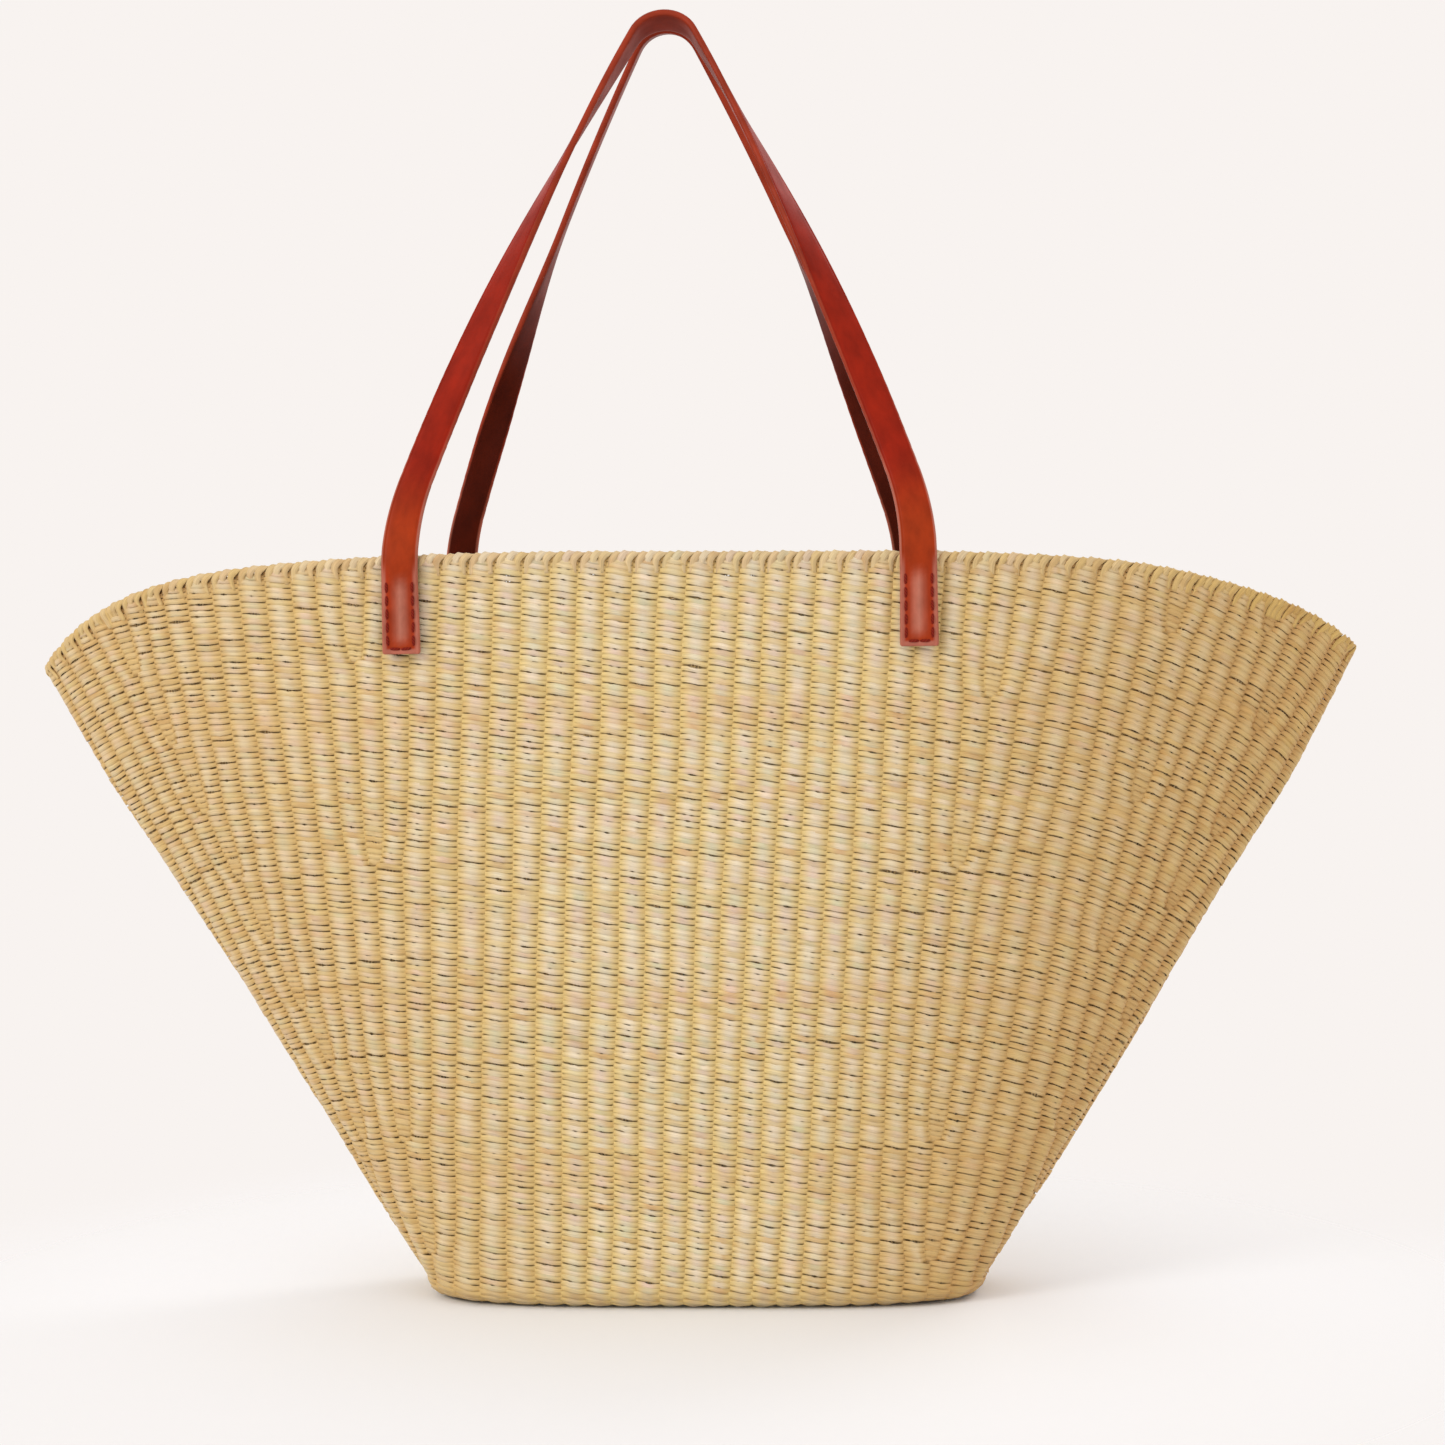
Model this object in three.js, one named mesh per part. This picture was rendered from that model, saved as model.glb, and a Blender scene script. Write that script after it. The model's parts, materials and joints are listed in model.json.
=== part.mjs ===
// Woven straw beach bag with two leather shoulder straps.
// Millimetres, +Z up, +X along the bag's length, -Y the front.
// The origin lies on the ground under the middle of the base.
import * as THREE from 'three';

// Basket: outlines run along the middle of the woven wall.
const BASE_LENGTH = 286;
const BASE_DEPTH = 110;
const BASE_SQUARENESS = 3.4;      // superellipse exponent of the base outline
const RIM_LENGTH = 684;
const RIM_DEPTH = 170;
const TIP_PINCH = 0.62;           // how much the mouth narrows towards its two tips
const RIM_HEIGHT = 370;           // at the middle of the front and back
const TIP_DROP = 41;              // the rim's two tips sit this much lower
const TIP_DROP_POWER = 8;
const WEAVE_THICKNESS = 6;
const BORDER_HEIGHT = 8;          // rolled border round the rim
const BORDER_GAP = 1;             // the border's underside follows the tips' curve
const FOOT_HEIGHT = 8;            // turn-up course round the base
const FOOT_WIDTH = 8;
const GAP = 0.3;                  // clearance between neighbouring pieces

// Straps: one flat leather strap a side, sewn on at both ends.
const STRAP_WIDTH = 18;           // at the sewn ends
const LOOP_WIDTH = 16.4;          // and in the loop
const TAPER_LENGTH = 50;          // it narrows over this much above the hinge line
const STRAP_THICKNESS = 3.5;
const STRAP_CHAMFER = 0.8;
const STRAP_CENTRE = -9;          // both straps sit a little left of the bag's middle
const STRAP_HALF_SPACING = 126.5; // from there to each strap end
const TAB_LENGTH = 46;            // the sewn part, from the hinge line down
const TAB_CORNER = 1.5;
const HINGE_HEIGHT = 372;         // the strap starts to bend just over the rim
const HINGE_RELIEF = 1.6;         // the sewn end stops this much below the hinge line
const LEG_BEND_RADIUS = 140;      // each leg curves from upright to its slope
const LOW_SLOPE = THREE.MathUtils.degToRad(18);   // the leg's slope over that bend
const HIGH_SLOPE = THREE.MathUtils.degToRad(27.5); // and under the crown
const CROWN_RADIUS = 18;          // bend at the top of the loop
const TWIST_START = 45;           // above the hinge line the straps start to twist
const BACK_TWIST_END = 215;       // where the back strap already stands edge-on
const CROWN_GAP = 0.4;            // between the two straps where they meet

// Sewing.
const THREAD_RADIUS = 0.45;
const STITCH_INSET = 2.6;         // from the strap's edges to the thread
const STITCH_START = 11;          // below the hinge line
const STITCH_CORNER = 2;
const PATCH_WIDTH = 24;
const PATCH_LENGTH = 48;
const PATCH_THICKNESS = 1.5;

// Facets.
const ROUND_STEPS = 64;
const WALL_STEPS = 5;
const BEND_STEPS = 6;
const LEG_STEPS = 20;
const CROWN_STEPS = 8;
const THREAD_STEPS = 36;
const THREAD_SIDES = 6;

const FRONT = -1;
const BACK = 1;

// ---- Materials ----

function material(color, roughness) {
  return new THREE.MeshStandardMaterial({ color, roughness, metalness: 0 });
}

function addPiece(parent, name, geometry, color, roughness) {
  const mesh = new THREE.Mesh(geometry, material(color, roughness));
  mesh.name = name;
  parent.add(mesh);
  return mesh;
}

// ---- Lofting ----

// Turns a list of vertices and triangles into a solid whose faces point out.
function solidFrom(points, triangles) {
  let volume = 0;
  for (const [a, b, c] of triangles) {
    volume += points[a].dot(new THREE.Vector3().crossVectors(points[b], points[c]));
  }
  const facing = volume > 0 ? triangles : triangles.map(([a, b, c]) => [a, c, b]);
  const geometry = new THREE.BufferGeometry().setFromPoints(points);
  geometry.setIndex(facing.flat());
  geometry.computeVertexNormals();
  return geometry;
}

// Joins equal rings of points in order. A closed loft joins the last ring to
// the first; an open one is capped at both ends.
function loft(rings, closed) {
  const size = rings[0].length;
  const triangles = [];
  const joints = closed ? rings.length : rings.length - 1;
  for (let ring = 0; ring < joints; ring += 1) {
    const here = ring * size;
    const next = ((ring + 1) % rings.length) * size;
    for (let side = 0; side < size; side += 1) {
      const turn = (side + 1) % size;
      triangles.push([here + side, here + turn, next + turn]);
      triangles.push([here + side, next + turn, next + side]);
    }
  }
  if (!closed) {
    const last = (rings.length - 1) * size;
    for (let side = 1; side < size - 1; side += 1) {
      triangles.push([0, side + 1, side]);
      triangles.push([last, last + side, last + side + 1]);
    }
  }
  return solidFrom(rings.flat(), triangles);
}

// ---- The basket's surface ----

function signedPower(value, power) {
  return Math.sign(value) * Math.abs(value) ** power;
}

function basePoint(angle) {
  const power = 2 / BASE_SQUARENESS;
  return new THREE.Vector3(
    BASE_LENGTH / 2 * signedPower(Math.cos(angle), power),
    BASE_DEPTH / 2 * signedPower(Math.sin(angle), power),
    FOOT_HEIGHT + GAP,
  );
}

// The mouth is a lens with nearly straight sides and two small round tips.
function rimPoint(angle) {
  const along = Math.cos(angle);
  const pinch = (1 - TIP_PINCH * along ** 4) * Math.sqrt(Math.max(0, 1 - along ** 4));
  return new THREE.Vector3(
    RIM_LENGTH / 2 * along,
    RIM_DEPTH / 2 * Math.sign(Math.sin(angle)) * pinch,
    RIM_HEIGHT - TIP_DROP * Math.abs(along) ** TIP_DROP_POWER,
  );
}

// A point of the wall: t is 0 at the foot and 1 at the top of the rim, and
// offset moves it level, outwards from the middle of the weave.
function wallPoint(angle, t, offset) {
  const middle = basePoint(angle).lerp(rimPoint(angle), t);
  const step = 1e-4;
  const before = basePoint(angle - step).lerp(rimPoint(angle - step), t);
  const after = basePoint(angle + step).lerp(rimPoint(angle + step), t);
  const outward = new THREE.Vector3(after.y - before.y, before.x - after.x, 0);
  return middle.addScaledVector(outward.normalize(), offset);
}

// The wall's t at a distance below the top of the rim.
function belowRim(angle, distance) {
  return 1 - distance / (rimPoint(angle).z - FOOT_HEIGHT - GAP);
}

// How far the wall's face is from the XZ plane at a given x.
function wallFace(x, t, offset) {
  let low = 0;
  let high = Math.PI / 2;
  for (let pass = 0; pass < 40; pass += 1) {
    const angle = (low + high) / 2;
    if (wallPoint(angle, t, offset).x > x) {
      low = angle;
    } else {
      high = angle;
    }
  }
  return wallPoint(low, t, offset).y;
}

function roundAngles() {
  return Array.from({ length: ROUND_STEPS }, (_, step) => step * 2 * Math.PI / ROUND_STEPS);
}

// ---- Basket pieces ----

function wovenWall() {
  const half = WEAVE_THICKNESS / 2;
  const rings = roundAngles().map((angle) => {
    const top = belowRim(angle, BORDER_HEIGHT + BORDER_GAP);
    const levels = Array.from({ length: WALL_STEPS + 1 }, (_, step) => top * step / WALL_STEPS);
    const outer = levels.map((t) => wallPoint(angle, t, half));
    const inner = levels.map((t) => wallPoint(angle, t, -half)).reverse();
    return [...outer, ...inner];
  });
  return loft(rings, true);
}

function rimBorder() {
  const half = WEAVE_THICKNESS / 2;
  const section = [
    [half, BORDER_HEIGHT],
    [half, 2.2],
    [half * 0.6, 0.5],
    [0, 0],
    [-half * 0.6, 0.5],
    [-half, 2.2],
    [-half, BORDER_HEIGHT],
  ];
  const rings = roundAngles().map((angle) => section.map(
    ([offset, below]) => wallPoint(angle, belowRim(angle, below), offset),
  ));
  return loft(rings, true);
}

// The turn-up course stands on the ground, flat underneath and round on top.
function baseBorder() {
  const half = FOOT_WIDTH / 2;
  const section = [
    [half - 1, 0],
    [half, 1.5],
    [half, FOOT_HEIGHT - 2],
    [half - 1, FOOT_HEIGHT],
    [1 - half, FOOT_HEIGHT],
    [-half, FOOT_HEIGHT - 2],
    [-half, 0],
  ];
  const rings = roundAngles().map((angle) => section.map(
    ([offset, height]) => wallPoint(angle, 0, offset).setZ(height),
  ));
  return loft(rings, true);
}

function wovenBase() {
  const inset = -FOOT_WIDTH / 2 - GAP;
  const outline = roundAngles().map((angle) => {
    const edge = wallPoint(angle, 0, inset);
    return new THREE.Vector2(edge.x, edge.y);
  });
  return new THREE.ExtrudeGeometry(new THREE.Shape(outline), {
    depth: WEAVE_THICKNESS,
    bevelEnabled: false,
  });
}

// ---- Sewn strap ends ----

// The wall's slope behind a sewn end, and the place of its outer face. The
// right ends stand on the fuller part of the wall, and set it for all four.
function tabFrame() {
  const topT = belowRim(Math.PI / 2, 0);
  const lowT = belowRim(Math.PI / 2, TAB_LENGTH);
  const innerEdge = STRAP_HALF_SPACING + STRAP_CENTRE - STRAP_WIDTH / 2;
  const topY = wallFace(innerEdge, topT, WEAVE_THICKNESS / 2);
  const lowY = wallFace(innerEdge, lowT, WEAVE_THICKNESS / 2);
  const lean = Math.atan((topY - lowY) / TAB_LENGTH);
  return { lean, hingeY: topY + GAP + STRAP_THICKNESS / Math.cos(lean) };
}

const TAB = tabFrame();

function roundedPanel(width, top, bottom, corner) {
  const half = width / 2;
  const shape = new THREE.Shape();
  shape.moveTo(-half, top);
  shape.lineTo(-half, bottom + corner);
  shape.absarc(-half + corner, bottom + corner, corner, Math.PI, Math.PI * 1.5, false);
  shape.absarc(half - corner, bottom + corner, corner, Math.PI * 1.5, Math.PI * 2, false);
  shape.lineTo(half, top);
  shape.closePath();
  return shape;
}

// A panel in the XZ plane, its outer face at y = 0, facing -Y.
function panel(shape, thickness) {
  const geometry = new THREE.ExtrudeGeometry(shape, {
    depth: thickness,
    bevelEnabled: false,
    curveSegments: 3,
  });
  geometry.rotateX(Math.PI / 2);
  geometry.translate(0, thickness, 0);
  return geometry;
}

function strapEnd() {
  const shape = roundedPanel(STRAP_WIDTH, -HINGE_RELIEF, -TAB_LENGTH, TAB_CORNER);
  return panel(shape, STRAP_THICKNESS);
}

// The patch lies flat behind the curved wall, clear of it at its outer edge on
// the left ends, where the wall curves in most.
function patchSetback(top) {
  const outerEdge = STRAP_HALF_SPACING - STRAP_CENTRE + PATCH_WIDTH / 2;
  const setbacks = [top, top - PATCH_LENGTH].map((below) => {
    const t = belowRim(Math.PI / 2, -below);
    const behind = wallFace(outerEdge, t, -WEAVE_THICKNESS / 2);
    return TAB.hingeY + below * Math.tan(TAB.lean) - behind;
  });
  return Math.max(...setbacks) * Math.cos(TAB.lean) + GAP;
}

function backingPatch() {
  const top = -HINGE_RELIEF - BORDER_HEIGHT;
  const shape = roundedPanel(PATCH_WIDTH, top, top - PATCH_LENGTH, TAB_CORNER * 2);
  const geometry = panel(shape, PATCH_THICKNESS);
  geometry.translate(0, patchSetback(top), 0);
  return geometry;
}

// One thread sews each end down in a U: down one side, across, and up again.
function stitching() {
  const side = STRAP_WIDTH / 2 - STITCH_INSET;
  const low = -TAB_LENGTH + STITCH_INSET;
  const y = -THREAD_RADIUS - GAP;
  const at = (x, z) => new THREE.Vector3(x, y, z);
  const path = new THREE.CurvePath();
  path.add(new THREE.LineCurve3(at(-side, -STITCH_START), at(-side, low + STITCH_CORNER)));
  path.add(new THREE.QuadraticBezierCurve3(
    at(-side, low + STITCH_CORNER), at(-side, low), at(-side + STITCH_CORNER, low),
  ));
  path.add(new THREE.LineCurve3(at(-side + STITCH_CORNER, low), at(side - STITCH_CORNER, low)));
  path.add(new THREE.QuadraticBezierCurve3(
    at(side - STITCH_CORNER, low), at(side, low), at(side, low + STITCH_CORNER),
  ));
  path.add(new THREE.LineCurve3(at(side, low + STITCH_CORNER), at(side, -STITCH_START)));
  const section = new THREE.Shape();
  for (let step = 0; step < THREAD_SIDES; step += 1) {
    const turn = step * 2 * Math.PI / THREAD_SIDES;
    const point = [THREAD_RADIUS * Math.cos(turn), THREAD_RADIUS * Math.sin(turn)];
    section[step ? 'lineTo' : 'moveTo'](...point);
  }
  section.closePath();
  return new THREE.ExtrudeGeometry(section, {
    steps: THREAD_STEPS,
    extrudePath: path,
    bevelEnabled: false,
  });
}

// A group whose origin is on the hinge line and whose Z runs up the wall's slope.
function tabGroup(face, side) {
  const group = new THREE.Group();
  group.position.set(STRAP_CENTRE + side * STRAP_HALF_SPACING, face * TAB.hingeY, HINGE_HEIGHT);
  group.rotation.order = 'ZXY';
  group.rotation.set(TAB.lean, 0, face === BACK ? Math.PI : 0);
  return group;
}

// ---- Handle loop ----

// Half the loop is three arcs, each taking the leg from one slope to the next.
const LEG_RADIUS = (STRAP_HALF_SPACING - LEG_BEND_RADIUS * (1 - Math.cos(LOW_SLOPE))
  - CROWN_RADIUS * Math.cos(HIGH_SLOPE)) / (Math.cos(LOW_SLOPE) - Math.cos(HIGH_SLOPE));
const LOOP_ARCS = [
  { radius: LEG_BEND_RADIUS, from: 0, to: LOW_SLOPE, steps: BEND_STEPS },
  { radius: LEG_RADIUS, from: LOW_SLOPE, to: HIGH_SLOPE, steps: LEG_STEPS },
  { radius: CROWN_RADIUS, from: HIGH_SLOPE, to: Math.PI / 2, steps: CROWN_STEPS },
];
const HALF_LOOP = LOOP_ARCS.reduce((sum, arc) => sum + arc.radius * (arc.to - arc.from), 0);
const LOOP_HEIGHT = loopPoint(HALF_LOOP).rise;

// The left half of the loop in its own plane, by length from the hinge line:
// x across the bag, rise up the plane and turn, the leg's slope from upright.
function loopPoint(length) {
  let x = -STRAP_HALF_SPACING;
  let rise = 0;
  let turn = 0;
  let left = length;
  for (const arc of LOOP_ARCS) {
    turn = Math.min(arc.to, arc.from + left / arc.radius);
    x += arc.radius * (Math.cos(arc.from) - Math.cos(turn));
    rise += arc.radius * (Math.sin(turn) - Math.sin(arc.from));
    left -= arc.radius * (turn - arc.from);
    if (left <= 0) {
      break;
    }
  }
  return { x, rise, turn };
}

// The strap faces out of the loop's plane at the hinge and up at the crown.
function strapTwist(length, face) {
  const end = face === FRONT ? HALF_LOOP : BACK_TWIST_END;
  return THREE.MathUtils.smoothstep(length, TWIST_START, end) * Math.PI / 2;
}

function loopStations() {
  const stations = [];
  let start = 0;
  for (const { radius, from, to, steps } of LOOP_ARCS) {
    const run = radius * (to - from);
    for (let step = 0; step < steps; step += 1) {
      stations.push(start + run * step / steps);
    }
    start += run;
  }
  stations[0] = GAP;
  return stations;
}

// The strap's section: across its width, then out through its thickness.
function strapSection(length) {
  const taper = THREE.MathUtils.smoothstep(length, 0, TAPER_LENGTH);
  const width = THREE.MathUtils.lerp(STRAP_WIDTH, LOOP_WIDTH, taper) / 2;
  const thick = STRAP_THICKNESS / 2;
  const cut = STRAP_CHAMFER;
  return [
    [width, thick - cut], [width - cut, thick], [cut - width, thick], [-width, thick - cut],
    [-width, cut - thick], [cut - width, -thick], [width - cut, -thick], [width, cut - thick],
  ];
}

// One cross-section of the loop. The plane has x across, z up the plane and
// y through it, with the strap's outer face on y = 0 at the hinge line.
function loopRing(length, face, mirrored) {
  const { x, rise, turn } = loopPoint(length);
  const twist = strapTwist(length, face);
  const centre = new THREE.Vector3(x, STRAP_THICKNESS / 2, rise);
  const through = new THREE.Vector3(0, -1, 0);
  const outOfLoop = new THREE.Vector3(-Math.cos(turn), 0, Math.sin(turn));
  const across = outOfLoop.clone().multiplyScalar(Math.cos(twist))
    .addScaledVector(through, -Math.sin(twist));
  const outward = through.clone().multiplyScalar(Math.cos(twist))
    .addScaledVector(outOfLoop, Math.sin(twist));
  const ring = strapSection(length).map(([wide, thick]) => centre.clone()
    .addScaledVector(across, wide).addScaledVector(outward, thick));
  if (!mirrored) {
    return ring;
  }
  return ring.map((point) => new THREE.Vector3(-point.x, point.y, point.z));
}

function handleStrap(face) {
  const stations = loopStations();
  const left = stations.map((length) => loopRing(length, face, false));
  const crown = loopRing(HALF_LOOP, face, false);
  const right = stations.map((length) => loopRing(length, face, true)).reverse();
  return loft([...left, crown, ...right], false);
}

// How far each loop leans in, so that the two crowns just meet over the bag.
function loopLean() {
  let lean = 0;
  for (let pass = 0; pass < 20; pass += 1) {
    const innerEdge = STRAP_THICKNESS / 2 + LOOP_WIDTH / 2;
    const crown = LOOP_HEIGHT + STRAP_THICKNESS / 2;
    const reach = TAB.hingeY - CROWN_GAP / 2 - innerEdge * Math.cos(lean);
    lean = Math.asin(reach / crown);
  }
  return lean;
}

function handleGroup(face) {
  const group = new THREE.Group();
  group.position.set(STRAP_CENTRE, face * TAB.hingeY, HINGE_HEIGHT);
  group.rotation.order = 'ZXY';
  group.rotation.set(-loopLean(), 0, face === BACK ? Math.PI : 0);
  return group;
}

// ---- Assembly ----

const STRAW = 0xdcc07c;
const STRAW_BORDER = 0xd0ad66;
const LEATHER = 0xa8371a;
const PATCH_LEATHER = 0x8c3a22;
const THREAD = 0x571208;

const bag = new THREE.Group();
addPiece(bag, 'woven_base', wovenBase(), STRAW, 0.85);
addPiece(bag, 'base_border', baseBorder(), STRAW_BORDER, 0.85);
addPiece(bag, 'woven_wall', wovenWall(), STRAW, 0.85);
addPiece(bag, 'rim_border', rimBorder(), STRAW_BORDER, 0.85);

for (const [face, faceName] of [[FRONT, 'front'], [BACK, 'back']]) {
  for (const [side, sideName] of [[-1, 'left'], [1, 'right']]) {
    const tab = tabGroup(face, side);
    const prefix = `${faceName}_${sideName}`;
    addPiece(tab, `${prefix}_strap_end`, strapEnd(), LEATHER, 0.4);
    addPiece(tab, `${prefix}_stitching`, stitching(), THREAD, 0.7);
    addPiece(tab, `${prefix}_backing_patch`, backingPatch(), PATCH_LEATHER, 0.8);
    bag.add(tab);
  }
  const handle = handleGroup(face);
  addPiece(handle, `${faceName}_handle_strap`, handleStrap(face), LEATHER, 0.4);
  bag.add(handle);
}

export default bag;
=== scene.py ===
"""Woven straw beach bag with two leather shoulder straps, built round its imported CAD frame.

The basket is real twined work: every weft strand, stake and border loop is a
swept straw of its own. Each strap is one sweep of leather, sewn down with
single stitches. All sizes are in metres. The basket's outlines and the straps'
arcs repeat the CAD model's, and places come from the frame's boxes and joints.
The bag is soft, so its foot leans a little, its ends are full and its rim is
uneven, by a few millimetres.
"""
import json
import math

import bpy
import numpy as np
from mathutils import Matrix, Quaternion, Vector


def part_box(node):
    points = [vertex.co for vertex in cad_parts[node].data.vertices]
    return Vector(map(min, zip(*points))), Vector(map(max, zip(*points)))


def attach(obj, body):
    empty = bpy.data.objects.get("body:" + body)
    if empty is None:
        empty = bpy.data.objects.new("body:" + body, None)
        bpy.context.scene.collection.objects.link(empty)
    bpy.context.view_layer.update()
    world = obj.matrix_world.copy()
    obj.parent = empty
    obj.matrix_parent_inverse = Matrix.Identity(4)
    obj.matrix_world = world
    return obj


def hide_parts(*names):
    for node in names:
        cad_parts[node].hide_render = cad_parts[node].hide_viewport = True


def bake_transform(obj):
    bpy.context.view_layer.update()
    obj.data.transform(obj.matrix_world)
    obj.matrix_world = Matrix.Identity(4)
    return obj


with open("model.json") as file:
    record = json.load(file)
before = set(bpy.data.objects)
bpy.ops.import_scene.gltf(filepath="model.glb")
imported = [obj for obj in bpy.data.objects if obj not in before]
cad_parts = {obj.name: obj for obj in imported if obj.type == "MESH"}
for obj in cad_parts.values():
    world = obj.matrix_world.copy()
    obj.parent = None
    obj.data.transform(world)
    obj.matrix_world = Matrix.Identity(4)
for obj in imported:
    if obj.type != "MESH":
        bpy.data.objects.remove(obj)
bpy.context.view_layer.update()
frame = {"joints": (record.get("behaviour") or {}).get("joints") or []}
MM = 0.001
RNG = np.random.default_rng(835)

# ---- Places from the frame ----
FOOT_LOW, FOOT_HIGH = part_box("base_border")
RIM_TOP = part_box("rim_border")[1][2]
TAB_LOW, TAB_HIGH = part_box("front_right_strap_end")
LEFT_TAB_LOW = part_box("front_left_strap_end")[0]
PATCH_LOW, PATCH_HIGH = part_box("front_right_backing_patch")
HINGE = next(joint for joint in frame["joints"] if joint["name"] == "front_handle_fold")

# ---- Basket, as in the CAD model ----
FOOT_WIDTH = 8 * MM
BASE_LENGTH = FOOT_HIGH[0] - FOOT_LOW[0] - FOOT_WIDTH
BASE_DEPTH = FOOT_HIGH[1] - FOOT_LOW[1] - FOOT_WIDTH
BASE_SQUARENESS = 3.4
RIM_LENGTH = 684 * MM
RIM_DEPTH = 170 * MM
TIP_PINCH = 0.62
TIP_DROP = 41 * MM
TIP_DROP_POWER = 8
BORDER = 4.5 * MM  # the last row is this far below the rim

# ---- The soft bag's unevenness ----
LEAN = 5 * MM  # the foot stands this far right of the mouth
RIM_RISE = 0.7 * MM  # the rolled rim stands this far over the CAD's
RIM_WAVES = [(0.9 * MM, 3, 0.6), (0.7 * MM, 7, 1.9)]  # height, waves round, phase
# Height, then middle and half width in half lengths of the mouth, and how flat it is on top.
RIM_HUMPS = [(4.6 * MM, -0.17, 0.66, 6), (-4.0 * MM, 0.83, 0.15, 2)]
SIDE_SLACK = 2.4 * MM  # the front and back stand out by this
END_SLACK = 2.0 * MM  # and the two ends by this,
END_BULGE = 3.2 * MM, 0.78, 0.14  # with this bulge high up: how far, where and half height
END_POWER = 14  # how soon an end's slack dies away round the bag
WALL_WAVES = [(0.7 * MM, 5, 0, 2.0), (0.5 * MM, 9, 7, 0)]  # depth, waves round, twist, phase

# ---- Weaving ----
ROW_PITCH = 2.75 * MM
FOOT_PITCH = 3.6 * MM  # the thick courses where the base turns up
FOOT_ROWS = 3
FIRST_ROW = 1.5 * MM
TURN_RADIUS = 9 * MM
MAT_HEIGHT = 2.7 * MM  # from the ground to the middle of the base's weave
WALL_FOOT = MAT_HEIGHT + TURN_RADIUS
STAKE_PITCH = 12.4 * MM
FIRST_STAKES = 32
SPLIT_LIMITS = (1.05 * STAKE_PITCH, 1.42 * STAKE_PITCH)  # a gap this wide gets a new stake
SPLIT_PLACES = (0.42, 0.58)  # the share of the gap where it starts
STAKE_DRIFT = math.tan(math.radians(3.5))
STAKE_SWAYS = [(0.035, 18 * MM), (0.030, 41 * MM)]  # slope and length of the sway
EVENNESS = 0.14  # how far stakes even out their spacing, a pass
EVEN_PASSES = 3
LEVEL_SAMPLES = 1600
PHASES = np.array([0, 0.14, 0.28, 0.42, 0.58, 0.72, 0.86])
FLOAT_LIFT = 1.7 * MM  # from the wall's middle to a float's middle
FLOAT_HALF = 1.56 * MM  # half a float's height over its stake
CROSS_HALF = 1.20 * MM  # and where the two strands cross
STRAW_THIN = 0.55 * MM  # half a straw's thickness
FLAT_FACE = 0.92  # share of a straw's height that lies flat
SWING_POWER = 0.7  # below 1 a strand stays longer over its stake
TWIST_RISE = 0.85 * MM
ROW_WANDER = 0.20 * MM
WANDER_LENGTHS = (31 * MM, 83 * MM)
LOOSE_OUT = 0.12 * MM  # how loosely a strand lies, in and out,
LOOSE_UP = 0.16 * MM  # up and down,
LOOSE_HALF = 0.05  # and how uneven its height is
TIGHTEST = 0.3  # share of the rise that is left where stakes are close
GAP_SHARE = 0.62  # of the floats that show gaps beside them
GAP_RUN = 0.7  # how far gaps run on to the next float
GAP_ROWS = 0.6  # how much rows differ in them
DOT_SHARE = 0.38  # of the rings over such a float that are open
GAP_NARROW = 0.27  # share of its height that a straw loses at a gap
GAP_DARK = 0.80  # how dark its edges are painted there, as shade in the gap
COARSE_LIFT = 0.4  # the foot's strands: share of the swing,
COARSE_HALF = 1.42  # of the height,
COARSE_TAN = 0.8  # and how far they take the foot's colour
SETTLE_ROWS = 14  # a new stake shows fully after this many rows,
YOUNGEST = 0.2  # and at least this much
STAKE_STRAWS = 3
STAKE_STRAW = 0.45 * MM  # half the width of each straw in a stake
STAKE_DEEP = 1.15 * MM  # and half its thickness, up to the floats
STAKE_SPREAD = 1.7 * MM  # from one to the next
STAKE_STEP = 3  # rows from one ring of a stake to the next
STAKE_TONES = (0.8, 1.2)
STRIP_MARGINS = (0.01, 0.08)  # the empty share at a UV strip's ends and sides
FIBRE_SHIFT, FIBRE_SHIFTS = 0.137, 41  # moves each strand's grain away from the others'
MAX_QUADS = 92000  # in one piece


# ---- The basket's surface ----
def signed_power(value, power):
    return np.sign(value) * np.abs(value) ** power


def base_outline(angle, inset=0.0):
    power = 2 / BASE_SQUARENESS
    x = (BASE_LENGTH / 2 - inset) * signed_power(np.cos(angle), power)
    y = (BASE_DEPTH / 2 - inset) * signed_power(np.sin(angle), power)
    return x, y


def rim_outline(angle):
    """The mouth: a lens with nearly straight sides and two small round tips."""
    along = np.cos(angle)
    pinch = (1 - TIP_PINCH * along**4) * np.sqrt(np.maximum(0, 1 - along**4))
    x = RIM_LENGTH / 2 * along
    y = RIM_DEPTH / 2 * np.sign(np.sin(angle)) * pinch
    return x, y, RIM_TOP + rim_unevenness(angle) - TIP_DROP * np.abs(along) ** TIP_DROP_POWER


def rim_unevenness(angle):
    """Small waves, a long rise left of the middle and a sag at the right shoulder."""
    waves = sum(height * np.sin(count * angle + phase) for height, count, phase in RIM_WAVES)
    humps = sum(height * np.exp(-((np.cos(angle) - middle) / width) ** power)
                for height, middle, width, power in RIM_HUMPS)
    return RIM_RISE + waves + humps


BASE_RUN = BASE_DEPTH / 2 - TURN_RADIUS
TURN_RUN = TURN_RADIUS * math.pi / 2
WALL_RUN = math.hypot(RIM_TOP - WALL_FOOT, (RIM_DEPTH - BASE_DEPTH) / 2)
FULL_RUN = BASE_RUN + TURN_RUN + WALL_RUN


def slack(angle, t):
    """How far the soft wall stands out: full sides and ends, and shallow waves."""
    arch = math.sin(math.pi * min(max(t, 0), 1))
    sides = SIDE_SLACK * np.sin(angle) ** 2
    waves = sum(depth * np.sin(count * angle + twist * t + phase)
                for depth, count, twist, phase in WALL_WAVES)
    depth, place, height = END_BULGE
    ends = END_SLACK * math.sqrt(arch) + depth * math.exp(-((t - place) / height) ** 2)
    return arch**2 * (sides + waves) + ends * np.abs(np.cos(angle)) ** END_POWER


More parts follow.
